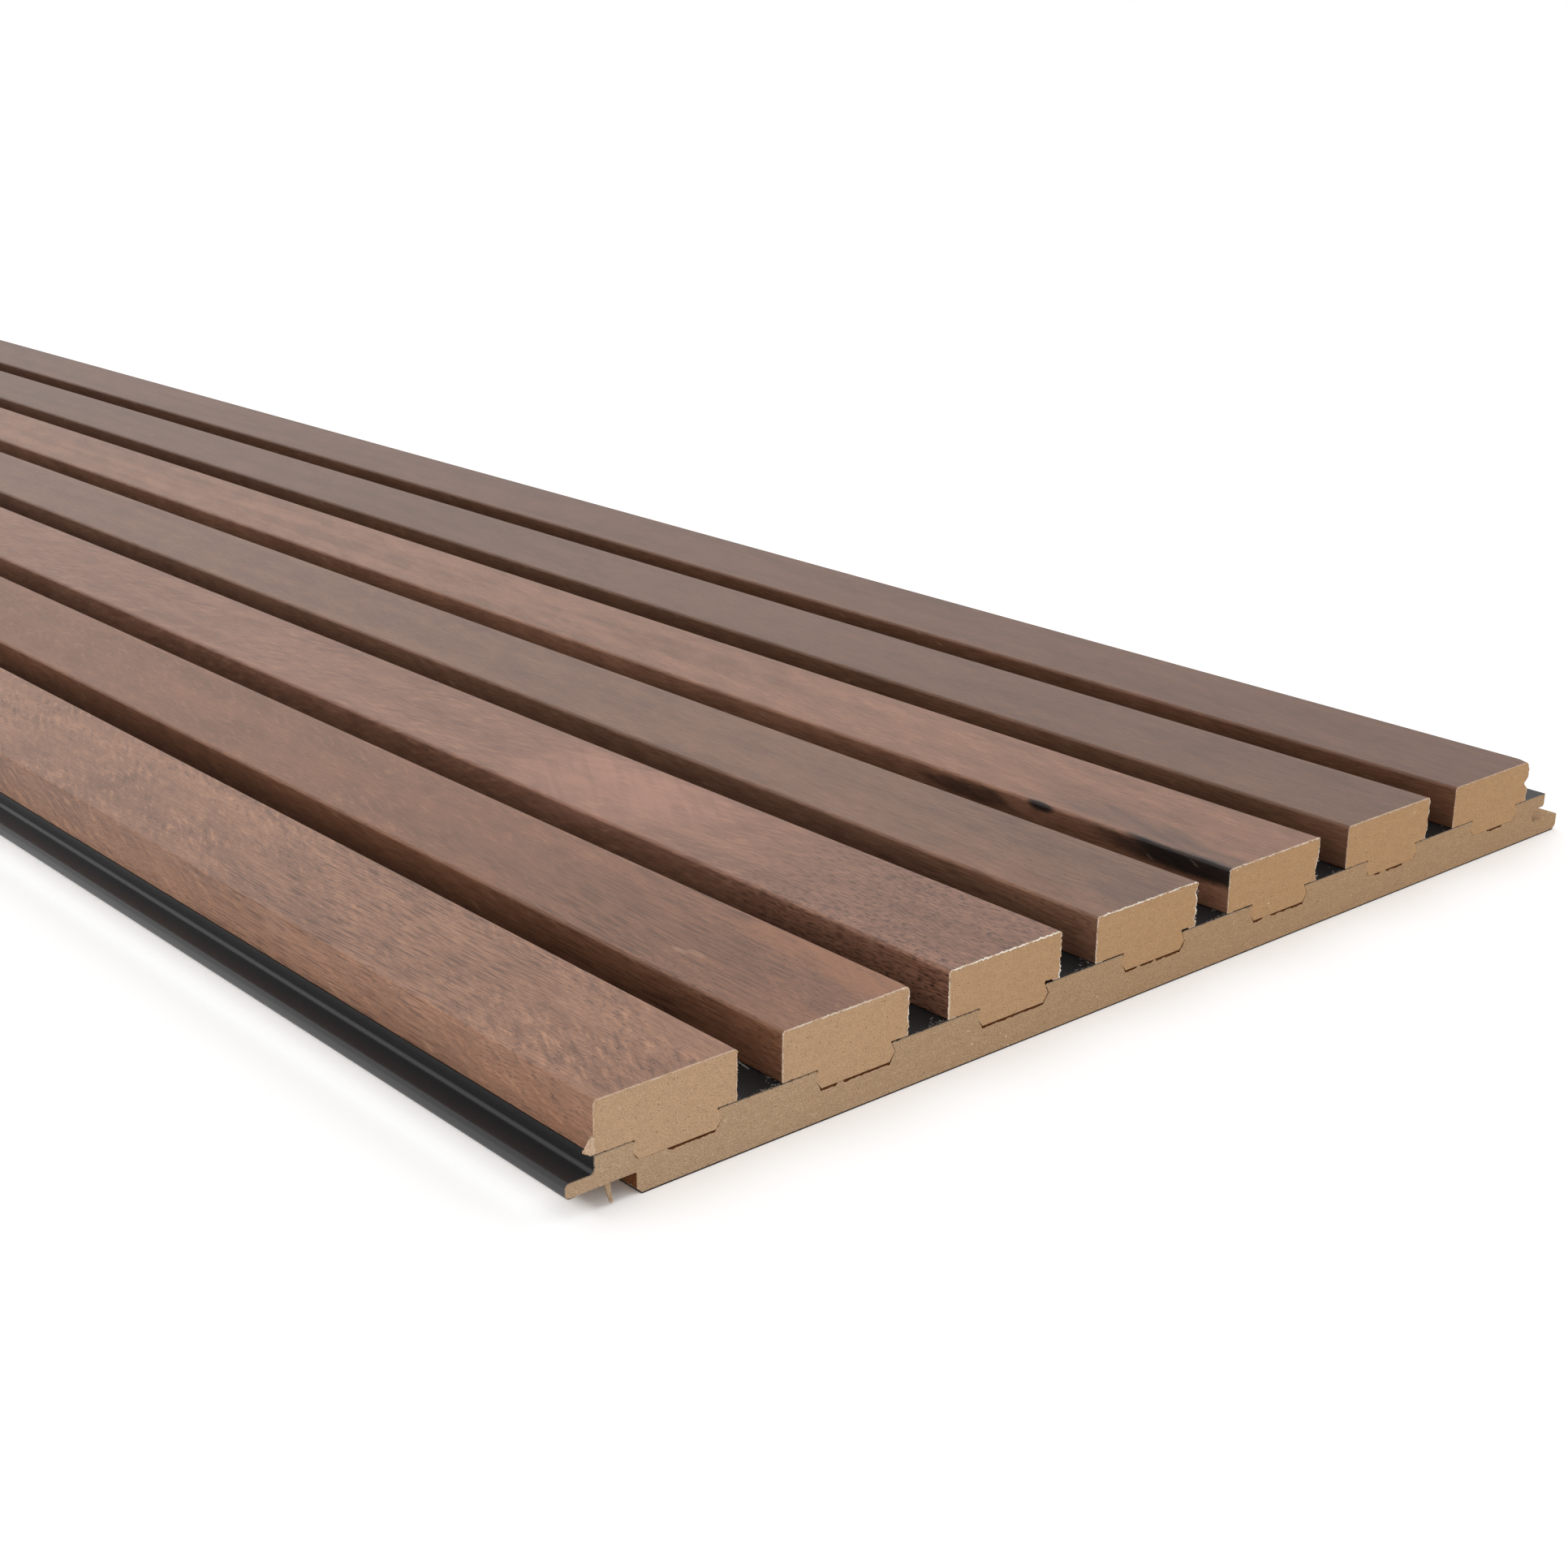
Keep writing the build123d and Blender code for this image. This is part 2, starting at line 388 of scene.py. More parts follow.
# %% Tones of the seven slats
soot, smoke, pink, orange = (16, 12, 11), (80, 60, 50), (178, 129, 110), (166, 110, 74)
cream = (190, 150, 122)
slat_looks = {
    1: {"tone": (135, 97, 75), "warm": (168, 124, 98), "lean": 0.4, "flecks": 0.85, "pores": 0.5,
        "dashes": (40, 132, 8, 0.8), "near": 0.3, "torn": 0.2,
        "patches": [((-5, 60), (5, 130), orange, 0.25)]},
    2: {"tone": (126, 87, 64), "warm": (147, 102, 76), "lean": 0.3, "flecks": 0.25, "pores": 0.5,
        "dashes": (14, 78, 13, 0.7), "near": 0.6, "torn": 0.5,
        "patches": [((28, 6), (8, 42), orange, 0.5), ((13, 95), (7, 45), smoke, 0.2),
                    ((9.8, 35.4), (0.9, 2.8), cream, 0.45), ((8.5, 38.6), (0.9, 2.4), cream, 0.45)]},
    3: {"tone": (130, 92, 73), "warm": (157, 114, 92), "lean": -0.25, "flecks": 0.45, "pores": 0.8,
        "dashes": (-9, 64, 2.8, 0.75), "near": 1.0, "torn": 1.0, "sweep": 0.6,
        "patches": [((13, 119), (19, 35), pink, 0.45), ((22, 112), (11, 30), pink, 0.28)]},
    4: {"tone": (116, 83, 65), "warm": (138, 101, 79), "lean": 0.2, "flecks": 0.12, "pores": 0.35,
        "dashes": (0, 70, 9, 0.4), "near": 0.6, "torn": 0.9,
        "patches": [((15, 3), (6, 14), smoke, 0.5), ((3, 24), (5, 30), orange, 0.2)]},
    5: {"tone": (127, 89, 68), "warm": (161, 116, 91), "lean": 0.3, "flecks": 0.12, "pores": 0.3,
        "dashes": (0, 60, 8, 0.3), "near": 0.3, "torn": 0.5,
        "patches": [((6, 32), (5, 26), smoke, 0.55), ((3, 8), (4, 22), smoke, 0.5),
                    ((-1.7, 8), (3.4, 30), soot, 0.97), ((-0.4, 52), (1.9, 4.5), soot, 0.96),
                    ((-3, 74), (2.2, 16), soot, 0.7)]},
    6: {"tone": (106, 74, 55), "warm": (123, 87, 66), "lean": 0.2, "flecks": 0.08, "pores": 0.25,
        "dashes": (0, 60, 9, 0.25), "near": 0.3, "torn": 0.3, "patches": []},
    7: {"tone": (103, 69, 49), "warm": (121, 83, 61), "lean": 0.2, "flecks": 0.08, "pores": 0.25,
        "dashes": (0, 60, 9, 0.25), "near": 0.3, "torn": 0.12, "patches": []},
}
print("tones for slats", sorted(slat_looks))

# %% [markdown]
# Across the grain, the print is measured along the foil: on a side, the drop below the crown is added to
# the distance across. Everything is then drawn on that unrolled sheet, straight or leaning to one side.
# Patches are drawn over the grain. A patch is a blot with a wandering edge. Strong ones cover the print,
# and faint ones are broken up by streaks. Last, shade is painted on the sides that face a gap: they get
# darker towards its floor and away from the open end.

# %% The unrolled foil, its patches and its painted shade
def unroll(place, left):
    """Distances across and along the flat foil of the slat that starts at this left edge."""
    x = place.axis("X")
    side = (x - (left + slat_width / 2)).math("SIGN")
    across = x + (crown_level - place.axis("Z")) * side
    return across, place.axis("Y") - sawn_end


def sheet(across, along):
    """The flat foil as a vector for noise."""
    return across.node("ShaderNodeCombineXYZ", None, {"X": across, "Y": along})


def add_patches(base, number, across, along):
    """Lays the slat's patches over its colour."""
    left, looks = slat_lefts[number - 1], slat_looks[number]
    slant = sheet(across - along * looks["lean"], along)
    sweep = sheet(across - along * looks.get("sweep", looks["lean"]), along)
    streaks = sweep.grain(2.4, 30, 1000, detail=2.0).rise(0.36, 0.64)
    for (middle, start), (half_width, half_length), tint, strength in looks["patches"]:
        wander = slant.grain(5, 16, 1000, detail=3.0) - 0.5
        over = (across - (left + middle * mm)) / (half_width * mm) + wander * 1.4
        onward = (along - start * mm) / (half_length * mm)
        inside = (over * over + onward * onward + wander * 0.8).rise(1.2, 0.2)
        share = inside * (1 - streaks * (0.8 - 0.8 * strength)) * strength
        base = share.mix(base, colour(*tint))
    return base


def paint_shade_in_gaps(base, place, along):
    """Paints shade on the sides that face a gap, but not on the two outermost ones."""
    x, z, last_right = place.axis("X"), place.axis("Z"), slat_lefts[-1] + slat_width
    on_side = z.rise(crown_level - 0.3 * mm, crown_level - 1.2 * mm)
    after_first = x.rise(joint_line + 1 * mm, joint_line + 2 * mm)
    before_last = x.rise(last_right - 1 * mm, last_right - 2 * mm)
    # Painted shade: darker towards the gap's floor and away from the open end.
    sunk = z.rise(crown_level - 1 * mm, face_level) * 0.8 + along.rise(10 * mm, 50 * mm) * 0.35
    shade = (on_side * after_first * before_last * sunk).math("MINIMUM", 1.0)
    return shade.mix(base, colour(206, 202, 200), "MULTIPLY")


print("patches:", sum(len(looks["patches"]) for looks in slat_looks.values()))

# %% [markdown]
# The grain itself is built up from wide to fine: bands, pale and dark flecks, fibres, pores and dashes.
# After patches and shade come the marks of the saw: the print has flaked off its paper along the cut, and
# wherever the foil stands out to the left of its slat.

# %% The print itself
def walnut_print(number):
    looks = slat_looks[number]
    material, place = start_finish(f"walnut_wrap_{number}", specular=0.35)
    left = slat_lefts[number - 1]
    across, along = unroll(place, left)

    bend = (place.grain(30, 110, 400, detail=1.0) - 0.5) * (10 * mm)
    run = sheet(across + bend, along)
    slant = sheet(across - along * looks["lean"], along)
    bands = run.grain(8, 150, 1000, detail=3.0, roughness=0.6).rise(0.32, 0.68)
    mottle = slant.grain(7, 22, 1000, detail=3.0).rise(0.35, 0.65)
    crowd = run.grain(9, 40, 1000, detail=2.0).rise(0.35, 0.6)
    weave = slant.grain(1.3, 6.5, 1000, detail=2.0, roughness=0.55)
    fibres = run.grain(0.4, 7, 1000, detail=2.5, roughness=0.6)
    pores = run.grain(0.3, 1.7, 1000, detail=1.0).rise(0.54, 0.66)
    thick = 1 - along.rise(25 * mm, 70 * mm) * looks["near"]
    first, last, length, depth = looks["dashes"]
    zone = along.rise((first - 12) * mm, (first + 12) * mm) * along.rise((last + 15) * mm, (last - 15) * mm)
    dashes = run.grain(0.42, length, 1000, detail=0.6).rise(0.5, 0.34) * zone * depth

    base = (bands * 0.6 + mottle * 0.4).mix(colour(*looks["tone"]), colour(*looks["warm"]))
    flecks = (0.35 + crowd * 0.65) * (1 - zone * 0.45) * looks["flecks"]
    base = (weave.rise(0.52, 0.68) * flecks).mix(base, colour(182, 135, 106))
    base = (weave.rise(0.46, 0.32) * flecks * 0.6).mix(base, colour(98, 70, 58))
    base = fibres.rise(0.60, 0.38).mix(base, colour(226, 220, 216), "MULTIPLY")
    base = (pores * (0.4 + crowd * 0.6) * thick * looks["pores"]).mix(base, colour(60, 38, 29))
    base = dashes.mix(base, colour(180, 174, 172), "MULTIPLY")
    base = add_patches(base, number, across, along)
    # Painted shade on the sides that face a gap.
    base = paint_shade_in_gaps(base, place, along)

    flaked = along - place.grain(0.5, 9000, 0.5, detail=2.0) * (0.6 * mm)
    base = (flaked.rise(-0.12 * mm, -0.2 * mm) * looks["torn"]).mix(base, colour(236, 216, 192))
    lifted = (left - place.axis("X") + (weave - 0.5) * mm).rise(0.15 * mm, 0.6 * mm)
    base = lifted.mix(base, colour(206, 180, 152))
    return end_finish(material, base, 0.38 + fibres * 0.12, fibres * 0.5 - pores, 0.014)


walnut_prints = {number: walnut_print(number) for number in slat_looks}
print("printed", len(walnut_prints), "slats")

# %% [markdown]
# ### Torn paper
# Where the saw broke the foil, its paper core shows as a pale line a quarter of a millimetre wide. On
# some slats it is white and fluffy, on others smeared over with MDF, and always less white on the left
# side. Under the head it lies in the dark, and that shade is painted into its colour.

# %% Torn edge of the wrap
def torn_paper(number):
    material, place = start_finish(f"torn_paper_{number}", specular=0.1)
    left = slat_lefts[number - 1]
    off_left = place.axis("X").rise(left + 0.3 * mm, left + 2 * mm)
    whiteness = (0.45 + off_left * 0.55) * slat_looks[number]["torn"]
    fluff = place.grain(0.5, detail=3.0)
    worn = place.grain(2.2, 9000, 2.2, detail=2.0).rise(0.62, 0.42) * whiteness
    base = fluff.rise(0.35, 0.65).mix(colour(184, 151, 121), colour(208, 176, 146))
    base = worn.mix(base, colour(250, 242, 230))
    # Painted shade: the paper under the head is darkened.
    painted_shade_under_head = place.axis("Z").rise(face_level + 0.3 * mm, face_level + 0.05 * mm)
    base = painted_shade_under_head.mix(base, colour(74, 56, 44))
    return end_finish(material, base, 0.8 + fluff * 0.15, fluff, 0.08)


wrap_papers = {number: torn_paper(number) for number in slat_looks}
print("made", len(wrap_papers), "torn edges")

# %% [markdown]
# ## Sections
# Every long piece is a section carried along Y. A section is drawn as on a drawing board: corners with a
# radius each. `rounded` turns the corners into points, `refine` adds points on straight runs where the
# saw will fray them, and `skin` gives a foil's section from its outer line and its thickness.

# %% Drawing a section
def rounded(corners, closed=True, arc_steps=8):
    """Points through corners given as (x, z, radius), with an arc at each corner that has a radius."""
    points = []
    for index, (x, z, radius) in enumerate(corners):
        corner = Vector((x, z))
        at_end = not closed and index in (0, len(corners) - 1)
        if radius == 0 or at_end:
            points.append(corner)
            continue
        before = (Vector(corners[index - 1][:2]) - corner).normalized()
        after = (Vector(corners[(index + 1) % len(corners)][:2]) - corner).normalized()
        half_angle = before.angle(after) / 2
        centre = corner + (before + after).normalized() * radius / math.sin(half_angle)
        start = corner + before * radius / math.tan(half_angle) - centre
        end = corner + after * radius / math.tan(half_angle) - centre
        first = math.atan2(start.y, start.x)
        sweep_angle = (math.atan2(end.y, end.x) - first + math.pi) % (2 * math.pi) - math.pi
        for step in range(arc_steps + 1):
            angle = first + sweep_angle * step / arc_steps
            points.append(centre + radius * Vector((math.cos(angle), math.sin(angle))))
    return points


def refine(points, spacing, closed=True):
    """The same line with extra points, so that no run is longer than the spacing."""
    fine = []
    for start, end in zip(points, points[1:] + points[:1] if closed else points[1:]):
        steps = max(1, math.ceil((end - start).length / spacing))
        fine += [start.lerp(end, step / steps) for step in range(steps)]
    return fine if closed else fine + points[-1:]


def skin(outer, thickness):
    """Outline of a foil and the faces of its cut end; the foil lies to the right of its outer line."""
    inner = []
    for index, point in enumerate(outer):
        ahead = (outer[min(index + 1, len(outer) - 1)] - point).normalized()
        behind = (point - outer[max(index - 1, 0)]).normalized()
        ahead, behind = (ahead if ahead.length else behind), (behind if behind.length else ahead)
        inward = Vector((ahead.y + behind.y, -ahead.x - behind.x)) / (1 + ahead.dot(behind))
        inner.append(point + inward * thickness)
    last = 2 * len(outer) - 1
    cut = [(k, k + 1, last - k - 1, last - k) for k in range(len(outer) - 1)]
    return outer + inner[::-1], cut


print("section helpers ready")

# %% [markdown]
# ## From a section to a piece
# `carry` copies the outline to a row of stations along Y and joins them with quads. The stations stand
# close together near the sawn end, where the edge is worn, and then jump to the far end, because a
# straight run needs no more. `place_piece` gives the mesh its finishes and its place on the panel.

# %% Carrying a section along the panel
sawn_stations = [0, 0.1, 0.22, 0.4, 0.8, 1.5, 2.6, 4.5, 8]


def smooth_mesh(name, points, faces):
    """A mesh with its faces turned outwards, smooth but for its sharp edges."""
    mesh = bpy.data.meshes.new(name)
    mesh.from_pydata(points, [], faces)
    turned = bmesh.new()
    turned.from_mesh(mesh)
    bmesh.ops.recalc_face_normals(turned, faces=turned.faces)
    turned.to_mesh(mesh)
    turned.free()
    mesh.shade_smooth()
    mesh.set_sharp_from_angle(angle=math.radians(32))
    return mesh


def carry(name, outline, cut=None):
    """A mesh with this outline from the sawn end to the far end, closed at both."""
    stations = [sawn_end + step * mm for step in sawn_stations] + [far_end]
    count = len(outline)
    cut = cut or [tuple(range(count))]
    points = [(x, y, z) for y in stations for x, z in outline]
    faces = []
    for row in range(len(stations) - 1):
        for k in range(count):
            first, second = row * count + k, row * count + (k + 1) % count
            faces.append((first, second, second + count, first + count))
    last_row = (len(stations) - 1) * count
    faces += cut
    faces += [tuple(last_row + k for k in reversed(face)) for face in cut]
    return smooth_mesh(name, points, faces)


def place_piece(mesh, finishes, slot, *replaced):
    """Shows a mesh as a piece of the panel, in the stead of the solids that it replaces."""
    piece = bpy.data.objects.new(mesh.name, mesh)
    bpy.context.collection.objects.link(piece)
    for finish in finishes:
        mesh.materials.append(finish)
    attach(piece, "root")
    if replaced:
        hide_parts(*replaced)
    print(f"{piece.name}: {len(mesh.polygons)} faces for {', '.join(replaced) or 'no solid'}")


print("a piece has", len(sawn_stations) + 1, "stations")

# %% [markdown]
# ## Keys and keyways
# Under each slat a key goes into the board. Its flanks slant outwards to a barb, which snaps behind the
# keyway's edge, and its foot tapers to find the way in. One function draws the key and, with some slack,
# the keyway, so the two always fit. The keyway's upper edges are broken to lead the key in.

# %% Sections of key and keyway
key_left_shoulder, key_right_shoulder = 8.3 * mm, 4.3 * mm
key_left_barb, key_right_barb = 0.5 * mm, 1.0 * mm
key_barb_depth = 2.0 * mm
key_foot_taper = 1.3 * mm
key_side_slack = 0.06 * mm
key_floor_gap = 0.4 * mm
keyway_lead = 0.5 * mm
key_depth = face_level - core_low.z


def key_corners(left, slack=0.0, floor_gap=0.0):
    """Corners of a key, from its left neck at the face round its foot to its right neck."""
    neck_left = left + key_left_shoulder - slack
    neck_right = left + slat_width - key_right_shoulder + slack
    barb_left, barb_right = neck_left - key_left_barb, neck_right + key_right_barb
    barb = face_level - key_barb_depth
    foot = face_level - key_depth - floor_gap
    return [
        (neck_left, face_level, 0),
        (barb_left, barb, 0),
        (barb_left + key_foot_taper, foot, 0),
        (barb_right - key_foot_taper, foot, 0),
        (barb_right, barb, 0),
        (neck_right, face_level, 0),
    ]


def keyway_corners(left):
    """Corners of a keyway in the bare board, whose top lies under the foil."""
    (neck_left, *_), *foot, (neck_right, *_) = key_corners(left, key_side_slack, key_floor_gap)
    drop_left = keyway_lead / (1 + key_left_barb / key_barb_depth)
    drop_right = keyway_lead / (1 + key_right_barb / key_barb_depth)
    return [
        (neck_left - keyway_lead + face_foil, board_top, 0),
        (neck_left - keyway_lead + drop_left, face_level - drop_left, 0),
        *foot,
        (neck_right + keyway_lead - drop_right, face_level - drop_right, 0),
        (neck_right + keyway_lead - face_foil, board_top, 0),
    ]


def at_key(across, spare=0.5 * mm):
    """Whether this distance from a slat's left edge lies within its key's barbs, with some to spare."""
    first = key_left_shoulder - key_left_barb - spare
    return first < across < slat_width - key_right_shoulder + key_right_barb + spare


print(f"key {key_depth / mm:.1f} mm deep, with {key_floor_gap / mm:.1f} mm below it")

# %% [markdown]
# ## Board
# The board's section runs from the face down the joint line, out along the tongue and back under it, along
# the wall side to the nailing lip, and round the groove to the face again, where the seven keyways are
# cut. The groove is the tongue's own shape with a little room to slide.

# %% Section of the board
edge_tongue_thickness = 2.9 * mm
edge_nose_radius = 0.9 * mm
edge_wall_fillet = 0.8 * mm
rebate_edge_break = 1.0 * mm
rebate_corner_radius = 0.3 * mm
lower_lip_radius = 0.4 * mm
groove_corner_radius = 0.3 * mm
upper_lip_lead = 0.5 * mm
joint_clearance = 0.1 * mm
nose_clearance = 0.4 * mm
nose = edge_low.x
tongue_bottom = edge_low.z
tongue_top = tongue_bottom + edge_tongue_thickness
groove_floor = slat_lefts[-1] + slat_pitch - (joint_line - nose) - nose_clearance
groove_bottom, groove_top = tongue_bottom - joint_clearance, tongue_top + joint_clearance
upper_lip_end = groove_high.x
lower_lip_end = board_high.x
rebate_wall = backing_low.x - rebate_edge_break
wall_side = backing_high.z

board_corners = [
    (joint_line + face_foil, board_top, 0),
    (joint_line + face_foil, tongue_top - face_foil, edge_wall_fillet + face_foil),
    (nose + face_foil, tongue_top - face_foil, edge_nose_radius - face_foil),
    (nose + face_foil, tongue_bottom + face_foil, edge_nose_radius - face_foil),
    (rebate_wall, tongue_bottom + face_foil, rebate_corner_radius),
    (rebate_wall, wall_side + rebate_edge_break, 0),
    (backing_low.x, wall_side, 0),
    (backing_high.x, wall_side, 0),
    (lower_lip_end, wall_side + lower_lip_end - backing_high.x, 0),
    (lower_lip_end, groove_bottom, lower_lip_radius),
    (groove_floor, groove_bottom, groove_corner_radius),
    (groove_floor, groove_top, groove_corner_radius),
    (upper_lip_end - upper_lip_lead, groove_top, 0),
    (upper_lip_end, groove_top + upper_lip_lead, 0),
    (upper_lip_end, board_top, 0),
]
for left in reversed(slat_lefts):
    board_corners += reversed(keyway_corners(left))
print(f"board section with {len(board_corners)} corners")

# %% [markdown]
# The sawn end is not clean. All its wear is drawn in one way: the points near the cut are moved, fully at
# the cut and less and less behind it.

# %% Points near the cut
def smooth_step(value, low, high):
    """0 up to low, 1 from high on, and a smooth rise between."""
    share = min(1, max(0, (value - low) / (high - low)))
    return share * share * (3 - 2 * share)


def fade(distance, reach):
    """1 at no distance, falling to 0 at this reach."""
    return 1 - smooth_step(distance, 0, reach)


def near_cut(mesh, left, reach):
    """Each point up to this far from the cut, and its place across, up and along, in millimetres."""
    for vertex in mesh.vertices:
        along = (vertex.co.y - sawn_end) / mm
        if along <= reach:
            yield vertex, (vertex.co.x - left) / mm, (vertex.co.z - face_level) / mm, along


print("wear reaches", sawn_stations[-1], "mm from the cut")

# %% [markdown]
# Sawdust packs the gap below each key, right at the cut in places, so the dark line there breaks off and
# starts again, and the right flank of some keyways has crumbled. One table says over which shares of each
# key the line stays open, and another how far the flank went, in millimetres.

# %% Fluff in the sawn keyways
open_lines = {
    1: [(0.40, 0.97)],
    2: [(-0.1, 0.26), (0.34, 1.1)],
    3: [(-0.1, 1.1)],
    4: [(-0.1, 0.24), (0.30, 0.52), (0.57, 1.1)],
    5: [(-0.1, 0.20), (0.36, 1.1)],
    6: [(0.16, 0.28), (0.42, 0.74)],
    7: [(0.36, 0.70)],
}
crumbled_flanks = {1: 0.0, 2: 0.12, 3: 0.22, 4: 0.26, 5: 0.1, 6: 0.0, 7: 0.0}


def fray_keyway(mesh, number, reach=4.0):
    """Moves a keyway's points near the cut up against the key, or away from it."""
    key_start, key_end = key_left_shoulder / mm, (slat_width - key_right_shoulder) / mm
    floor_depth = (key_depth + key_floor_gap) / mm
    closed_lift, packed_lift = 0.36, 0.37
    close = key_side_slack / mm - 0.01
    for vertex, across, up, along in near_cut(mesh, slat_lefts[number - 1], reach):
        depth = -up
        if not at_key(across * mm) or not 0.6 < depth < floor_depth + 0.1:
            continue
        ragged = noise.noise(Vector((across * 0.9, number * 9.7, depth)))
        ragged += 0.6 * noise.noise(Vector((across * 2.9, number * 9.7, depth * 2.1)))
        if depth > key_depth / mm:
            share = (across - key_start) / (key_end - key_start)
            is_open = any(low < share < high for low, high in open_lines[number])
            lift = min(0.12, max(-0.25, 0.24 * ragged - 0.08)) if is_open else closed_lift
            packed = smooth_step(along, 0.2, 0.8)
            vertex.co.z += (lift + (packed_lift - lift) * packed) * fade(along, reach) * mm
        elif across > slat_width / mm / 2:
            room = crumbled_flanks[number] * (1 + ragged) - close
            vertex.co.x += max(room, -close) * fade(along, reach) * mm
        else:
            vertex.co.x += close * fade(along, reach) * mm


print("open lines:", sum(map(len, open_lines.values())))

# %% [markdown]
# The long faces of keys and keyways get the brown finish with painted shade, and so does the wall of the
# rebate under the tongue, as painted shade in that recess.

# %% The milled board
def paint_shade_on_keys(mesh, finish_index):
    """Gives the brown finish with painted shade to the long faces below the foil that belong to a key or a
    keyway.
    """
    for face in mesh.polygons:
        across = (face.center.x - joint_line) % slat_pitch
        deep = key_depth + key_floor_gap + 0.3 * mm > face_level - face.center.z > 0.45 * mm
        if at_key(across) and deep and abs(face.normal.y) < 0.7:
            face.material_index = finish_index


board_mesh = carry("milled_board", refine(rounded(board_corners), 0.4 * mm))
for number in open_lines:
    fray_keyway(board_mesh, number)
paint_shade_on_keys(board_mesh, 1)
# Painted shade on the rebate wall under the tongue: it gets the brown finish with painted shade.
for face in board_mesh.polygons:
    if abs(face.center.x - rebate_wall) < 0.1 * mm and face.center.z < tongue_bottom:
        face.material_index = 1
place_piece(board_mesh, [board_mdf, brown_painted_shade_mdf], "board_mdf", "base_board")

# %% [markdown]
# ## Black foil
# One foil covers the face and goes over the joint line, down the wall, along the tongue and round its
# nose. The keyways cut it into strips. The strip on the tongue is drawn as one outer line, whose
# rounded inner corner catches the light as a thin bright line.

# %% Foil round the tongue
edge_foil_return = 2.0 * mm
first_edge = key_corners(slat_lefts[0], key_side_slack)[0][0] - keyway_lead
edge_line = refine(rounded([
    (nose + edge_foil_return, tongue_bottom, 0),
    (nose, tongue_bottom, edge_nose_radius),
    (nose, tongue_top, edge_nose_radius),
    (joint_line, tongue_top, edge_wall_fillet),
    (joint_line, face_level, 0),
    (first_edge, face_level, 0),
], closed=False), 1.0 * mm, closed=False)
edge_outline, edge_cut = skin(edge_line, face_foil)
edge_outline[len(edge_line)].x += face_foil
place_piece(carry("edge_foil", edge_outline, edge_cut), [edge_film], "black_foil", "tongue_edge_foil")

# %% [markdown]
# The other strips lie flat between two keyways, and the last one ends at the upper lip. Where a keyway's
# edge is broken, the foil is cut on the slant with it.

# %% Foil in the gaps and on the groove edge
for number, left in enumerate(slat_lefts, start=1):
    start = key_corners(left, key_side_slack)[-1][0] + keyway_lead
    if number < slat_count:
        solid = f"gap_foil_{number}"
        end = key_corners(left + slat_pitch, key_side_slack)[0][0] - keyway_lead
        lower_end = end + face_foil
    else:
        solid = "groove_edge_foil"
        end = lower_end = upper_lip_end
    strip = [(start, face_level), (end, face_level), (lower_end, board_top), (start - face_foil, board_top)]
    strip_outline = refine([Vector(point) for point in strip], 0.4 * mm)
    place_piece(carry(f"face_foil_{number}", strip_outline), [face_film], "black_foil", solid)

# %% [markdown]
# The backing is a flat sheet, and its solid needs nothing but a finish.

# %% Backing
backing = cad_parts["backing_foil"]
backing.data.materials.clear()
backing.data.materials.append(backing_film)
print("backing keeps its solid, with a new finish")

# %% [markdown]
# ## Slats
# A slat is an MDF moulding, head and key in one, with the printed foil wrapped round the head and turned
# in under it. The saw came out on the right-hand side and tore bites out of it, and it lifted the foil's
# edge into teeth. Both are drawn by moving the points near the cut: the same bites for core and wrap, so
# that the foil follows the broken MDF, and the teeth for the wrap alone.

# %% Where the saw tore the slats
crown_radius, foot_radius = 0.7 * mm, 0.35 * mm
wrap_return = 2.0 * mm
# Bites out of each right side: height above the face, half height and depth, in millimetres
torn_bites = {
    1: [(2.5, 1.0, 0.12)],
    2: [(1.2, 0.8, 0.2), (6.0, 1.5, 0.12)],
    3: [(8.2, 1.2, 0.2), (4.0, 1.0, 0.25), (1.0, 0.8, 0.2)],
    4: [(7.4, 1.4, 0.5), (4.4, 0.9, 0.35), (2.0, 1.0, 0.6)],
    5: [(2.6, 4.2, 0.8)],
    6: [(0.8, 1.6, 0.6), (4.5, 1.2, 0.25)],
    7: [(4.6, 1.7, 1.3), (9.8, 1.8, 0.8), (1.2, 1.0, 0.3)],
}
# Depth of the small crumbs along each right side, and height of the lifted teeth, in millimetres
crumb_depths = {1: 0.1, 2: 0.24, 3: 0.3, 4: 0.2, 5: 0.16, 6: 0.16, 7: 0.12}
tooth_heights = {1: 0.08, 2: 0.16, 3: 0.36, 4: 0.32, 5: 0.28, 6: 0.2, 7: 0.12}
# How far bites go across and along, and how far teeth and their jut go along, in millimetres
bite_width, bite_length, tooth_length, jut_length = 4, 3.0, 0.5, 0.4


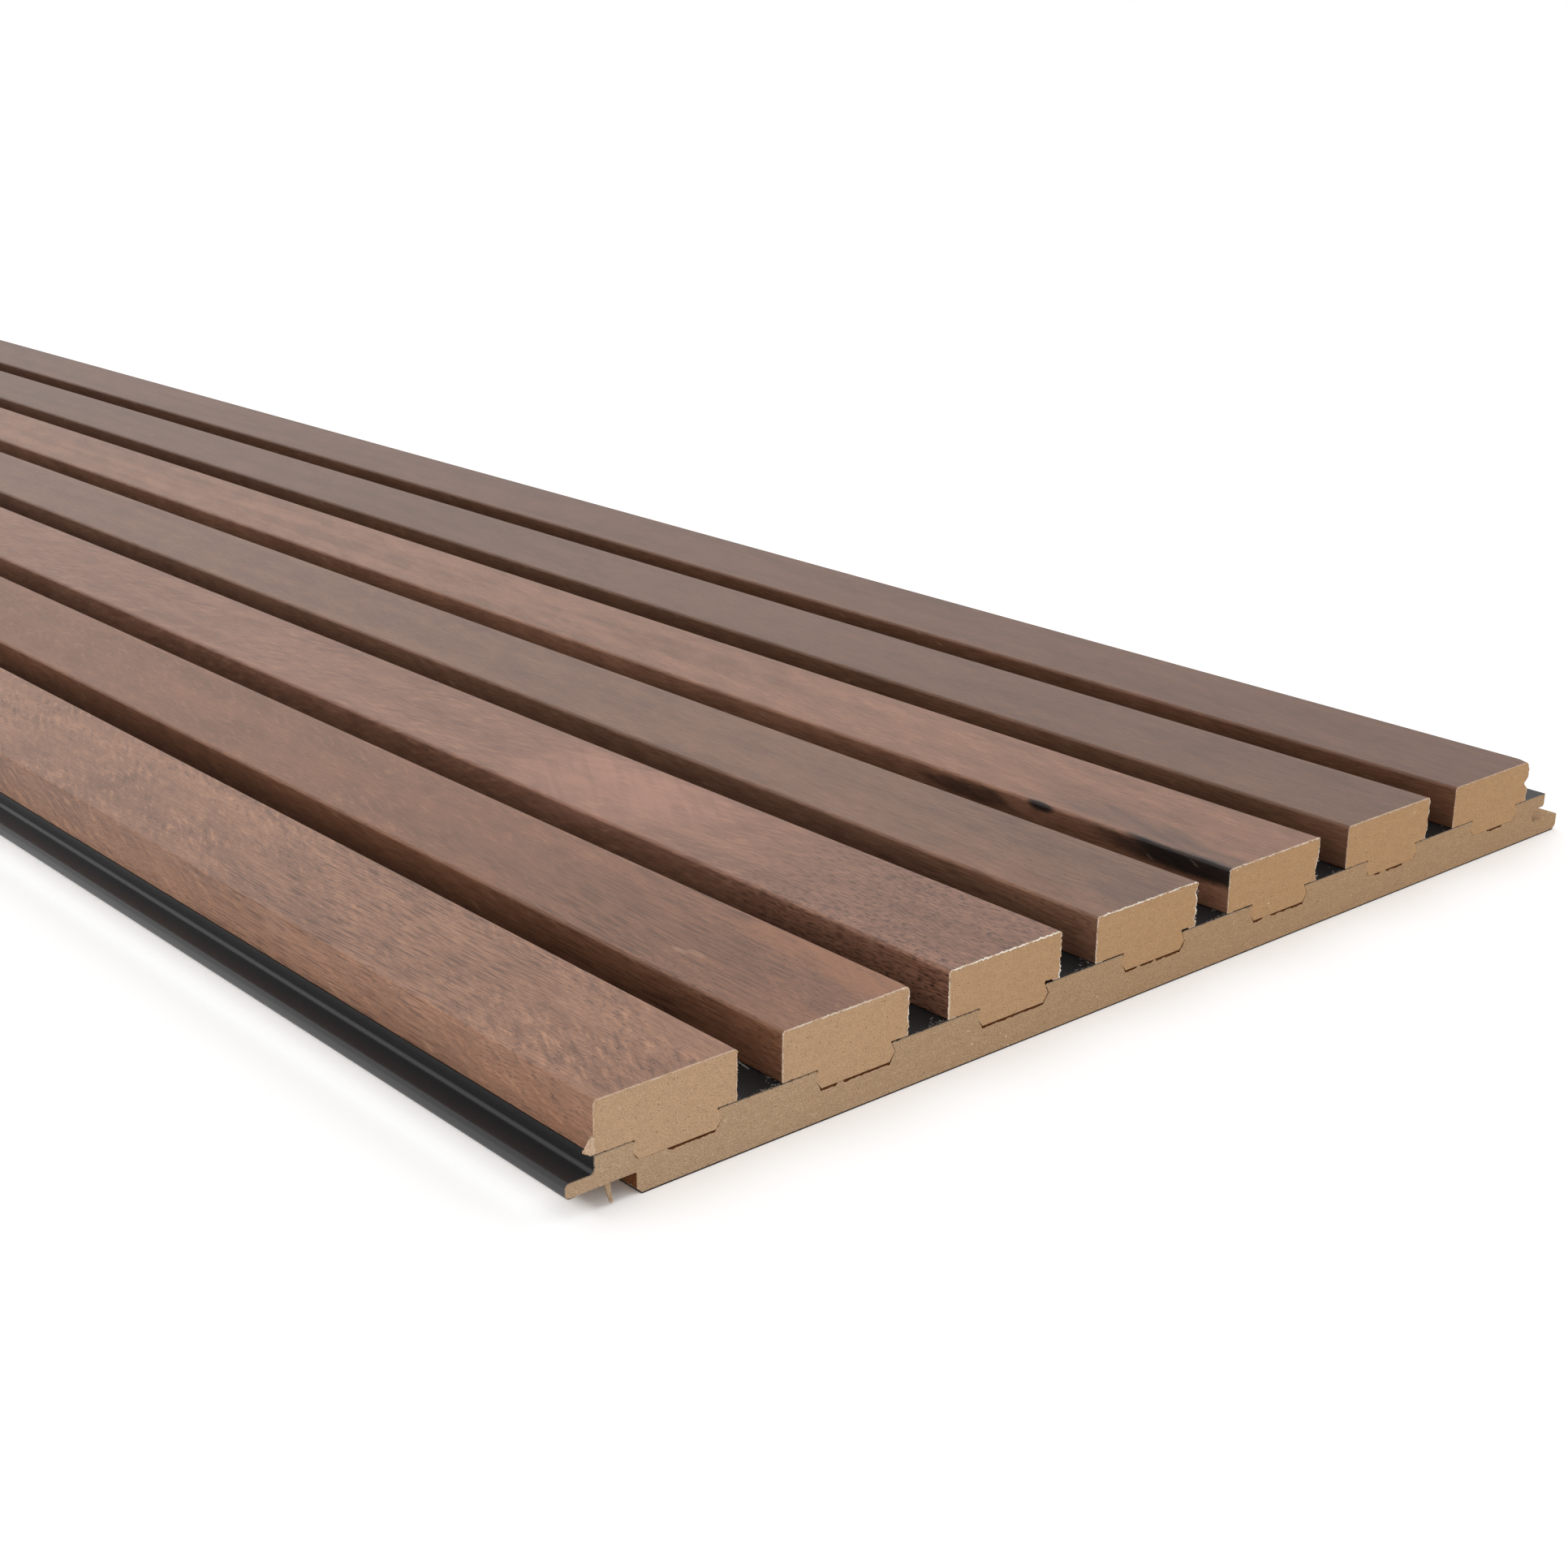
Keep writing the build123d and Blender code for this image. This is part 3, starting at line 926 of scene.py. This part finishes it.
def tear_slat(mesh, number, teeth):
    """Moves the points near the sawn end: bites on the right, and teeth where the foil lifted."""
    width, height = slat_width / mm, (crown_level - face_level) / mm
    radius = crown_radius / mm
    for vertex, across, up, along in near_cut(mesh, slat_lefts[number - 1], sawn_stations[-1]):
        bite = sum(deep * fade(abs(up - middle), half) for middle, half, deep in torn_bites[number])
        bite += crumb_depths[number] * (0.5 + noise.noise(Vector((up * 1.6, number * 7.3, 1))))
        near_side = smooth_step(across, width - bite_width, width) * smooth_step(up, -0.1, 0.4)
        shift = Vector((-bite * near_side * fade(along, bite_length), 0, 0))
        if teeth and up > radius:
            inner_across = min(max(across, radius), width - radius)
            inner_up = min(max(up, radius), height - radius)
            outward = Vector((across - inner_across, up - inner_up)).normalized()
            spot = Vector((across * 1.8, up * 1.8, number * 5.3))
            tooth = max(0, noise.noise(spot) + 0.4 * noise.noise(spot * 2.7))
            lift = tooth_heights[number] * tooth * fade(along, tooth_length)
            jut = 0.12 * noise.noise(spot * 1.3) * fade(along, jut_length)
            shift += Vector((outward.x * lift, jut, outward.y * lift))
        vertex.co += shift * mm


print("bites for slats", sorted(torn_bites))

# %% [markdown]
# At the near corner the foil of the first slat has torn and stands out above the black edge in a small
# triangular ear, widest a millimetre above the face. Only the wrap's outer points are pulled out, so
# the ear is a solid lump of torn paper. Its sizes are in millimetres.

# %% A torn ear on the first slat
ear_reach, ear_tip, ear_top, ear_length = 2.4, 1.2, 3.6, 1.5


def pull_ear(mesh):
    """Pulls the outer points of the first wrap's lower left corner out into the ear."""
    for vertex, across, up, along in near_cut(mesh, slat_lefts[0], ear_length):
        if across > wrap_thickness / mm / 2 or up > ear_top:
            continue
        spread = (ear_top - up) / (ear_top - ear_tip) if up > ear_tip else 0.15 + 0.85 * up / ear_tip
        ragged = 0.95 + 0.1 * noise.noise(Vector((up * 2.6, along * 1.5, 0)))
        vertex.co.x -= ear_reach * spread * ragged * fade(along, ear_length) * mm


print(f"ear {ear_reach:.1f} mm wide and {ear_top:.1f} mm high")

# %% [markdown]
# Between the turned-in ends of the foil a slit is left under each head. On the middle slats the saw broke
# it wider, and on the first and the last two it is clogged, so the core's underside moves a little, by
# so many millimetres left and right of the key.

# %% Slits under the heads
slit_moves = {
    1: (-0.17, -0.12), 2: (-0.14, -0.02), 3: (-0.12, 0.35), 4: (0, 0.2),
    5: (-0.05, -0.08), 6: (-0.16, -0.16), 7: (-0.16, -0.16),
}


def move_slits(mesh, number, reach=2.6):
    """Lifts or lowers the underside of a head near the cut, left and right of its key."""
    first, last = wrap_return / mm, (slat_width - wrap_return) / mm
    for vertex, across, up, along in near_cut(mesh, slat_lefts[number - 1], reach):
        if abs(up - wrap_thickness / mm) > 0.02:
            continue
        move = slit_moves[number][across > slat_width / mm / 2]
        ragged = 0.9 + 0.5 * noise.noise(Vector((across * 1.7, number * 3.1, 2)))
        inner = smooth_step(across, first, first + 0.6) * (1 - smooth_step(across, last - 0.6, last))
        vertex.co.z += move * ragged * inner * fade(along, reach) * mm


print("slits moved under slats", sorted(slit_moves))

# %% [markdown]
# Core and wrap start from the same rounded box: the core's is set in by the foil's thickness and gets the
# key added below it, and the wrap is a skin on the outer one, open below between its two turned-in ends.

# %% Cores and wraps
def slat_box(left, inset):
    """Corners of a head, set in by this much, from its lower left round to its lower right."""
    low, high = face_level + inset, crown_level - inset
    right = left + slat_width
    return [
        (left + inset, low, foot_radius - inset),
        (left + inset, high, crown_radius - inset),
        (right - inset, high, crown_radius - inset),
        (right - inset, low, foot_radius - inset),
    ]


for number, left in enumerate(slat_lefts, start=1):
    key = key_corners(left)
    shoulder = face_level + wrap_thickness
    neck = [(key[-1][0], shoulder, 0), *reversed(key), (key[0][0], shoulder, 0)]
    core_line = refine(rounded(slat_box(left, wrap_thickness) + neck), 0.2 * mm)
    core_mesh = carry(f"mdf_slat_{number}", core_line)
    tear_slat(core_mesh, number, teeth=False)
    move_slits(core_mesh, number)
    paint_shade_on_keys(core_mesh, 1)
    place_piece(core_mesh, [slat_mdf, brown_painted_shade_mdf], "slat_mdf", f"slat_core_{number}")

    right_return = left + slat_width - wrap_return
    line = [(left + wrap_return, face_level, 0), *slat_box(left, 0), (right_return, face_level, 0)]
    wrap_line = refine(rounded(line, closed=False), 0.16 * mm, closed=False)
    wrap_mesh = carry(f"printed_wrap_{number}", *skin(wrap_line, wrap_thickness))
    tear_slat(wrap_mesh, number, teeth=True)
    if number == 1:
        pull_ear(wrap_mesh)
    for face in wrap_mesh.polygons:
        if abs(face.normal.y) > 0.7:
            face.material_index = 1
    finishes = [walnut_prints[number], wrap_papers[number]]
    place_piece(wrap_mesh, finishes, "walnut_wrap", f"slat_wrap_{number}")

# %% [markdown]
# ## Loose fibres
# The saw left fluff behind: MDF fibres on the cut edge of the black foil, most of all at the foot of the
# second and third slats, and white paper fibres on the torn sides and tops of the wraps. Each is a thin
# spike with three sides that bends once and tapers, rooted in the piece that it grew from.

# %% Spikes
random.seed(11)


def scatter(low, high):
    """A random length between these two, given in millimetres."""
    return random.uniform(low, high) * mm


def fibre(root, to_elbow, to_tip, thickness):
    """Path and thickness of a random fibre: spans of X, Y and Z to its elbow, and from there to its tip."""
    elbow = root + Vector([scatter(*span) for span in to_elbow])
    tip = elbow + Vector([scatter(*span) for span in to_tip])
    return [root, elbow, tip], scatter(*thickness)


def place_spikes(name, spikes, finish, slot, taper=0.8):
    """Places spikes as one piece. Each has a path, and a thickness that it loses this share of."""
    points, faces = [], []
    for path, thickness in spikes:
        first = len(points)
        for step, spot in enumerate(path):
            ahead = path[min(step + 1, len(path) - 1)] - path[max(step - 1, 0)]
            sideways = ahead.orthogonal().normalized()
            radius = thickness / 2 * (1 - taper * step / (len(path) - 1))
            for third in range(3):
                points.append(spot + Matrix.Rotation(third * math.tau / 3, 3, ahead) @ sideways * radius)
                if step:
                    high, following = first + 3 * step, (third + 1) % 3
                    low = high - 3
                    faces.append((low + third, low + following, high + following, high + third))
        faces.append((first + 2, first + 1, first))
        faces.append((len(points) - 3, len(points) - 2, len(points) - 1))
    place_piece(smooth_mesh(name, points, faces), [finish], slot)


print("spikes ready")

# %% [markdown]
# On the foil the fibres start just behind the cut, lie over the edge and point out of it, up or down.
# Thicker tufts lie on the foil behind them, crowded into the corner at the next slat's foot.

# %% Fibres on the black foil's edge
fibre_counts = {1: 40, 2: 46, 3: 42, 4: 30, 5: 14, 6: 8}
edge_spans = [(-0.3, 0.3), (-0.4, 0.1), (0.05, 0.22)], [(-0.4, 0.4), (-0.3, 0.05), (-0.2, 0.15)]
tuft_spans = [(-0.4, 0.2), (-0.4, 0.4), (0.05, 0.2)], [(-0.5, 0.2), (-0.4, 0.4), (-0.15, 0)]
fibres = []
for number, count in fibre_counts.items():
    start, end = slat_lefts[number - 1] + slat_width, slat_lefts[number]
    for _ in range(count):
        share = random.random() ** 0.6
        root = Vector((start + share * (end - start), sawn_end + scatter(0, 0.7), face_level - 0.04 * mm))
        fibres.append(fibre(root, *edge_spans, (0.06, 0.13)))
    for _ in range(count // 3):
        nearness = random.random() ** 2
        root = Vector((end - nearness * 5 * mm, sawn_end + scatter(0.2, 4.5) * (1 - nearness), face_level))
        fibres.append(fibre(root, *tuft_spans, (0.12, 0.26)))
place_spikes("foil_fibres", fibres, saw_fluff, "board_mdf")

# %% [markdown]
# On the wraps they stand out of the torn paper: thickest on the third slat, left half of the top, and on
# the right sides of the second to the fourth.

# %% Fibres on the wraps
side_counts = {1: 6, 2: 22, 3: 26, 4: 14, 5: 8}
top_counts = {2: 8, 3: 34, 4: 22, 5: 16}
side_spans = [(0.1, 0.35), (-0.1, 0.05), (-0.15, 0.15)], [(0, 0.15), (-0.1, 0.05), (-0.2, 0.2)]
top_spans = [(-0.12, 0.12), (-0.1, 0.1), (0.12, 0.3)], [(-0.15, 0.15), (-0.1, 0.1), (-0.02, 0.15)]
fibres = []
for number, count in side_counts.items():
    right = slat_lefts[number - 1] + slat_width - 0.15 * mm - crumb_depths[number] * 0.5 * mm
    for _ in range(count):
        root = Vector((right, sawn_end + scatter(0.02, 0.2), face_level + scatter(0.4, 9.2)))
        fibres.append(fibre(root, *side_spans, (0.08, 0.18)))
for number, count in top_counts.items():
    for _ in range(count):
        share = random.random() ** 1.6
        across = slat_lefts[number - 1] + crown_radius + share * (slat_width - 2 * crown_radius)
        root = Vector((across, sawn_end + scatter(0.02, 0.15), crown_level - 0.12 * mm))
        fibres.append(fibre(root, *top_spans, (0.08, 0.2)))
place_spikes("wrap_fibres", fibres, wrap_papers[3], "walnut_wrap")

# %% [markdown]
# The torn ear is fuzzy all over: short fibres stand out from its edge and hang from its lower side.

# %% Fibres on the ear
ear_fibre_count = 44
ear_spans = [(-0.25, 0.1), (-0.25, 0), (-0.2, 0.15)], [(-0.25, 0.05), (-0.2, 0.05), (-0.25, 0.15)]
fibres = []
for _ in range(ear_fibre_count):
    up = random.uniform(0.5, ear_top)
    reach = ear_reach * min((ear_top - up) / (ear_top - ear_tip), up / ear_tip)
    out = reach * random.uniform(0.3, 0.95)
    root = Vector((slat_lefts[0] - out * mm, sawn_end + scatter(0, 0.5), face_level + up * mm))
    fibres.append(fibre(root, *ear_spans, (0.08, 0.2)))
place_spikes("ear_fibres", fibres, wrap_papers[1], "walnut_wrap")

# %% [markdown]
# A larger splinter hangs from the tongue into the rebate below it, and a thin sliver of paper has
# dropped into the first gap, against the foot of the second slat.

# %% Splinter and sliver
splinter_root = Vector((joint_line + 3.0 * mm, sawn_end, tongue_bottom))
splinter_steps = [(-0.3, 0.5, 0.6), (0, 0.4, -1.6), (0.5, 0.3, -3.6)]
splinter = [splinter_root + Vector(step) * mm for step in splinter_steps]
place_spikes("rebate_splinter", [(splinter, 1.5 * mm)], board_mdf, "board_mdf", taper=0.5)

sliver_root = Vector((slat_lefts[1], sawn_end, face_level + 0.15 * mm))
sliver_steps = [(-0.4, 13, 0), (-0.5, 11, 0.2), (-0.7, 8, 0)]
sliver = [sliver_root + Vector(step) * mm for step in sliver_steps]
place_spikes("paper_sliver", [(sliver, 0.6 * mm)], saw_fluff, "walnut_wrap", taper=0.4)
